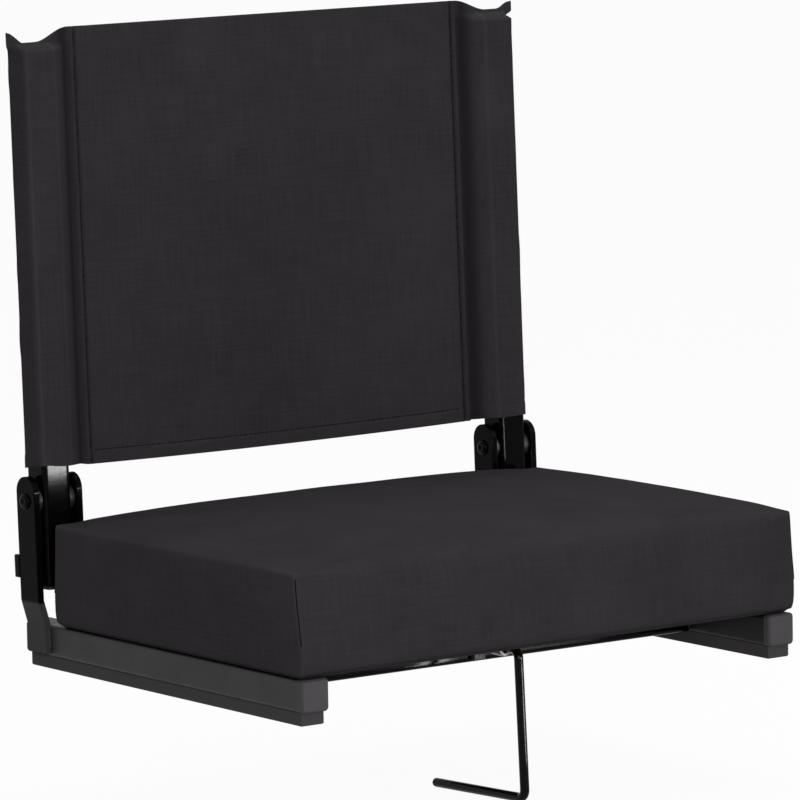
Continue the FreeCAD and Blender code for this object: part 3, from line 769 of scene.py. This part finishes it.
def blown(start, faces, held):
    """Points after some frames of cloth under pressure, with the held ones fixed."""
    source = piece("seat_cloth_source", start, faces, seat_cloth)
    group = source.vertex_groups.new(name="held")
    group.add(sorted(held), 1.0, "REPLACE")
    cloth = source.modifiers.new("cloth", "CLOTH")
    cloth.settings.quality = 6
    cloth.settings.mass = 0.3
    cloth.settings.tension_stiffness = 80
    cloth.settings.compression_stiffness = 80
    cloth.settings.shear_stiffness = 40
    cloth.settings.bending_stiffness = 2
    cloth.settings.air_damping = 2
    cloth.settings.use_pressure = True
    cloth.settings.uniform_pressure_force = 1.2
    cloth.settings.vertex_group_mass = "held"
    cloth.settings.effector_weights.gravity = 0
    cloth.collision_settings.use_collision = False
    cloth.point_cache.frame_start = 1
    cloth.point_cache.frame_end = blow_frames
    for number in range(1, blow_frames + 1):
        scene.frame_set(number)
    graph = bpy.context.evaluated_depsgraph_get()
    result = source.evaluated_get(graph)
    moved = [v.co.copy() for v in result.data.vertices]
    scene.frame_set(1)
    mesh = source.data
    bpy.data.objects.remove(source)
    bpy.data.meshes.remove(mesh)
    return moved


def capped(start, moved):
    """Movement kept under a few millimetres, less upward than sideways."""
    shaded_share = []
    for a, b in zip(start, moved):
        step = b - a
        step.x = max(-sideways_limit, min(sideways_limit, step.x))
        step.y = max(-sideways_limit, min(sideways_limit, step.y))
        step.z = max(-down_limit, min(up_limit, step.z))
        shaded_share.append(a + step)
    return shaded_share


result = blown(start_points, faces, held | sewn)
seat_points = capped(start_points, result)

wave_height = 0.3 * MM
wrinkle_height = 0.12 * MM
for k, p in enumerate(seat_points):
    if k in held:
        continue
    ease = smoothstep(base + 2 * MM, base + 16 * MM, p.z)
    wave = noise.noise(Vector((p.x * 14, p.y * 14, p.z * 20))) * wave_height
    tight = noise.noise(Vector((p.x * 48, p.y * 48, p.z * 40 + 7))) * wrinkle_height
    out = Vector((p.x / half_width, (p.y - middle) / half_depth, 0))
    if p.z > rim - 6 * MM:
        out = Vector((0, 0, 1))
    seat_points[k] = p + out * (wave + tight) * ease

# Corner seams: the cloth is drawn into a groove down each corner


def corner_way(column):
    """Outward direction at a corner, in plan."""
    p = rest[ring_count * (held_rings - 1) + column]
    return Vector((math.copysign(1, p.x), math.copysign(1, p.y - middle), 0)).normalized()


seam_depth = 2.3 * MM
for column in corner_columns:
    for r in range(held_rings - 1, ring_total):
        share = (r - held_rings) / (ring_total - held_rings)
        deep = (0.55 + 0.45 * smoothstep(0.15, 0.4, share)) * (1 - smoothstep(0.68, 0.85, share))
        seat_points[r * ring_count + column] -= corner_way(column) * seam_depth * deep

seat = piece("seat_cushion", seat_points, faces, seat_cloth)
smooth = seat.modifiers.new("smooth", "SUBSURF")
smooth.levels = 1
smooth.render_levels = 1
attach(seat, "seat_base")
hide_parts("seat_cover", "seat_foam")

# Sewn thread at the bottom of the corner seams' grooves

thread_radius = 0.42 * MM
thread_lift = 0.1 * MM
graph = bpy.context.evaluated_depsgraph_get()
shown = seat.evaluated_get(graph).data
thread_points = []
thread_faces = []
for column in corner_columns:
    path = []
    for r in range(held_rings + 3, ring_total - 5):
        path.append(shown.vertices[r * ring_count + column].co + corner_way(column) * thread_lift)
    cord_mesh(thread_points, thread_faces, path, thread_radius)
seam = piece("seat_corner_thread", thread_points, thread_faces, thread)
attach(seam, "seat_base")


# Canvas back: one cloth, carried round both tubes and sewn back to itself; lengths in mm unless in place

PANEL = 0.0
SLEEVE = 1.0
LAP = 2.0
pivot = Vector((0, 148.5, 117)) * MM
lean = Matrix.Translation(pivot) @ Matrix.Rotation(math.radians(-2), 4, "X")
tube_at = 197.0
sling_low = 21.5
sling_high = 324.5
close_from = 309.4
close_by = 315.0
seam_at = 161.5
crease_at = 168.5
wrap = 11.95
wrap_round = 4.0
tip_at = 216.2
lap = 9.0
lap_steps = 8
layer = 1.1
lap_depth = layer * 1.05
# Bells across the seam: depth, distance from the seam and width
seam_ridge = (1.2, 2.8, 1.5)
seam_groove = (0.9, 0.0, 1.0)
seam_crease = (2.1, 7.4, 2.4)
# Lower edge: its drop at the seam and at the panel's middle, its rise on the tube and at the tube's corner
hem_drop = 0.8
panel_drop = 1.6
left_lift = (1.3, 1.6)
right_lift = (0.3, 0.6)
# Upper edge: the dip over the tube, the tip's rise, and where the tip begins
left_top = (9.6, 8.0, 204.0)
right_top = (7.8, 5.0, 206.0)
panel_hollow = 1.6
hem_stitch_at = 9.6
hem_thickness = 0.35


def bell(value, shape):
    """Bell curve from its depth, place and width."""
    depth, place, width = shape
    return depth * math.exp(-((value - place) / width) ** 2)


def taut(share):
    """Straight pull from the crease to the tube, rounded where it meets the tube's face."""
    sharp = 8
    return -math.log(math.exp(-1.08 * sharp * share) + math.exp(-sharp)) / sharp


def sleeve_path():
    """Half of the cloth's section, from the middle of the panel round the right tube to its sewn end, in mm.

    Each entry is x and y.
    """
    near = tube_at - wrap
    far = tube_at + wrap
    line = [(x, 0.0) for x in range(0, 148, 4)]
    line += [(144 + 0.7 * k, 0.0) for k in range(1, 36)]
    corner = near + wrap_round
    taper = 26
    for k in range(1, taper + 1):
        share = k / taper
        line.append((crease_at + share * (corner - crease_at), -wrap * taut(share) / taut(1.0)))
    centres = ((far - wrap_round, -wrap + wrap_round, -90), (far - wrap_round, wrap - wrap_round, 0))
    flat = 6
    for k in range(1, flat):
        line.append((near + wrap_round + (far - near - 2 * wrap_round) * k / flat, -wrap))
    for cx, cy, start in centres:
        for k in range(6):
            angle = math.radians(start + 90 * k / 5)
            line.append((cx + wrap_round * math.cos(angle), cy + wrap_round * math.sin(angle)))
        if start < 0:
            for k in range(1, flat):
                line.append((far, -wrap + wrap_round + (2 * wrap - 2 * wrap_round) * k / flat))
    for k in range(1, flat):
        line.append((far - wrap_round - (far - near - 2 * wrap_round) * k / flat, wrap))
    parting = seam_at + 0.5
    for k in range(0, taper + 1):
        share = 1 - k / taper
        depth = layer + (wrap - layer) * smoothstep(-0.05, 1.0, share) ** 0.9
        line.append((parting + share * (corner - parting), depth))
    end = seam_at - lap
    for k in range(1, lap_steps + 1):
        line.append((parting - (parting - end) * k / lap_steps, lap_depth))
    return line


def top_edge(x):
    """Height of the cloth's upper edge, in mm over the pivot: a dip over each tube, then a standing tip."""
    dip, rise, begin = left_top if x < 0 else right_top
    x = abs(x)
    tip = max(0.0, (x - begin) / (tip_at - begin))
    return sling_high - dip * smoothstep(165.5, 193.5, x) + rise * (1.25 * tip - 0.25 * tip ** 5)


def sling_columns():
    """For each column: x, y, the flattened x and y, and whether it is of the panel, a sleeve or a lap."""
    half = sleeve_path()
    seam_index = min(range(len(half)), key=lambda k: abs(half[k][0] - seam_at) + abs(half[k][1]))
    fold_index = max(range(len(half)), key=lambda k: half[k][0] - abs(half[k][1] - 4) * 0.01)
    lengths = [0.0]
    for (x0, y0), (x1, y1) in zip(half, half[1:]):
        lengths.append(lengths[-1] + math.hypot(x1 - x0, y1 - y0))
    out = []
    last_back = len(half) - lap_steps - 1
    for k, (x, y) in enumerate(half):
        if k <= seam_index:
            out.append((x, y, x, y, PANEL))
        elif k <= fold_index:
            share = (lengths[k] - lengths[seam_index]) / (lengths[fold_index] - lengths[seam_index])
            out.append((x, y, seam_at + share * (tip_at - seam_at), -0.15, SLEEVE))
        elif k <= last_back:
            share = (lengths[last_back] - lengths[k]) / (lengths[last_back] - lengths[fold_index])
            parted = half[last_back][0]
            out.append((x, y, parted + share * (tip_at - parted), lap_depth, SLEEVE))
        else:
            out.append((x, y, x, y, LAP))
    mirrored = [(-x, y, -fx, fy, kind) for x, y, fx, fy, kind in out[:0:-1]]
    return mirrored + out


def sling_rows():
    """Shares of the cloth's height, closer together at the hem and the top."""
    shares = [0, 0.002, 0.006, 0.012, 0.02, 0.027, 0.031, 0.035, 0.042]
    value = 0.054
    while value < 0.92:
        shares.append(value)
        value += 0.0135
    value = 0.925
    while value < 0.9999:
        shares.append(value)
        value += 0.0042
    shares.append(1.0)
    return shares


def sling_point(column, share):
    """Point of the cloth, in the back's own upright frame, in mm."""
    x, y, flat_x, flat_y, kind = column
    low = sling_low
    if kind == PANEL:
        low -= hem_drop + panel_drop * (1 - (x / seam_at) ** 2)
    if kind == SLEEVE:
        lift, corner_lift = left_lift if x < 0 else right_lift
        lift += corner_lift * smoothstep(190, 208, abs(x))
        joined = smoothstep(seam_at, seam_at + 14, abs(x))
        low += lift * (0.5 - y / (2 * wrap)) * joined - hem_drop * (1 - joined)
    height = low + (top_edge(flat_x) - low) * share
    shut = smoothstep(close_from, close_by, height)
    px = x + (flat_x - x) * shut ** 0.6
    py = y + (flat_y - y) * shut
    front = kind == PANEL or (kind == SLEEVE and y <= 0)
    from_seam = abs(px) - seam_at
    if front:
        py -= bell(from_seam, seam_ridge)
        py += bell(from_seam, seam_groove)
        py += (1 - shut) * bell(from_seam, seam_crease)
    pucker = math.exp(-(from_seam / 7.0) ** 2)
    py += 0.28 * pucker * math.sin(height * 0.52 + 2.2 * math.sin(height * 0.07) + px)
    if kind == PANEL:
        calm = smoothstep(0, 40, -from_seam)
        py += 0.55 * calm * noise.noise(Vector((px * 0.008, height * 0.02, 3.0)))
        py += 0.2 * calm * noise.noise(Vector((px * 0.02, height * 0.075, 9.0)))
        py += panel_hollow * (1 - (px / seam_at) ** 2)
    if kind == SLEEVE and shut < 1:
        ripple = noise.noise(Vector((px * 0.05, py * 0.05, height * 0.045)))
        outward = Vector((px - math.copysign(tube_at, px), py, 0))
        outward.normalize()
        swell = max(0.0, ripple) * 0.7 * (1 - shut)
        px += outward.x * swell
        py += outward.y * swell
    hem = 1 - smoothstep(9.0, 10.5, height - low)
    groove = math.exp(-((height - low - hem_stitch_at) / 0.8) ** 2)
    away = -1 if front else 1
    py += away * hem_thickness * (hem - groove)
    return Vector((px, py, height))


columns = sling_columns()
shares = sling_rows()
sling_points = []
for share in shares:
    for column in columns:
        sling_points.append(lean @ (sling_point(column, share) * MM))
wide = len(columns)
sling_faces = []
for r in range(len(shares) - 1):
    for k in range(wide - 1):
        a = r * wide + k
        sling_faces.append((a, a + 1, a + 1 + wide, a + wide))
sling = piece("back_sling_cloth", sling_points, sling_faces, back_canvas)
body = sling.modifiers.new("body", "SOLIDIFY")
body.thickness = layer * MM
body.offset = 0
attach(sling, "backrest")
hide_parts("back_sling")

# Stitching on the canvas


stitch = 3.4
pause = 1.0
stitch_lift = 0.12
seam_stitch_radius = 0.33 * MM
hem_stitch_radius = 0.3 * MM
lap_stitch_inset = 3.0


def on_cloth(x, height, front):
    """Point on the panel's front or rear face, in metres, in place."""
    wanted = PANEL if front else LAP
    column = min((c for c in columns if c[4] == wanted), key=lambda c: abs(c[0] - x))
    share = (height - sling_low) / (top_edge(x) - sling_low)
    p = sling_point((x, column[1], x, column[3], column[4]), share)
    p.y += (-1 if front else 1) * (0.5 * layer + stitch_lift)
    return lean @ (p * MM)


stitch_points = []
stitch_faces = []
for x in (-seam_at, seam_at):
    for front in (True, False):
        row = x if front else x - math.copysign(lap_stitch_inset, x)
        height = sling_low + 1.5
        while height + stitch < sling_high - 1:
            path = [on_cloth(row, height + stitch * k / 3, front) for k in range(4)]
            cord_mesh(stitch_points, stitch_faces, path, seam_stitch_radius)
            height += stitch + pause
x = -seam_at + 3
while x + stitch < seam_at - 3:
    path = [on_cloth(x + stitch * k / 3, sling_low + hem_stitch_at, True) for k in range(4)]
    cord_mesh(stitch_points, stitch_faces, path, hem_stitch_radius)
    x += stitch + pause
stitches = piece("back_sling_stitches", stitch_points, stitch_faces, thread)
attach(stitches, "backrest")


# Weld beads where the arms and the cross tubes meet the runners

def bead(points, faces, start, end, radius, seed):
    """Row of weld ripples between two points."""
    length = (end - start).length
    count = max(6, int(length / (0.9 * MM)))
    path = [start.lerp(end, k / count) for k in range(count + 1)]

    def swell(i):
        ends = min(1.0, 0.35 + 0.35 * min(i, count - i))
        return ends * (1 + 0.16 * math.sin(i * 2.1) + 0.12 * noise.noise(Vector((i * 0.7, seed, 0))))

    cord_mesh(points, faces, path, radius, 8, swell)


weld_off = 11.2
cross_weld_off = 11.3
arm_edges = (134.6, 157.4)
cross_centres = (-67, 67)
arm_weld_low = 13 * MM
cross_weld_low = 11.5 * MM
weld_high = 28.5 * MM
weld_points = []
weld_faces = []
for side in (-1, 1):
    for direction in (-1, 1):
        x = (side * tube_at + direction * weld_off) * MM
        for y in arm_edges:
            low = Vector((x, (y - 0.5) * MM, arm_weld_low))
            high = Vector((x, (y + 0.2) * MM, weld_high))
            bead(weld_points, weld_faces, low, high, 1.7 * MM, y + x)
    for y in cross_centres:
        x = side * (tube_at - cross_weld_off) * MM
        for face in (-weld_off, weld_off):
            low = Vector((x, (y + face) * MM, cross_weld_low))
            high = Vector((x, (y + face) * MM, weld_high))
            bead(weld_points, weld_faces, low, high, 1.5 * MM, y + face)
welds = piece("weld_beads", weld_points, weld_faces, frame_paint)
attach(welds, "seat_base")
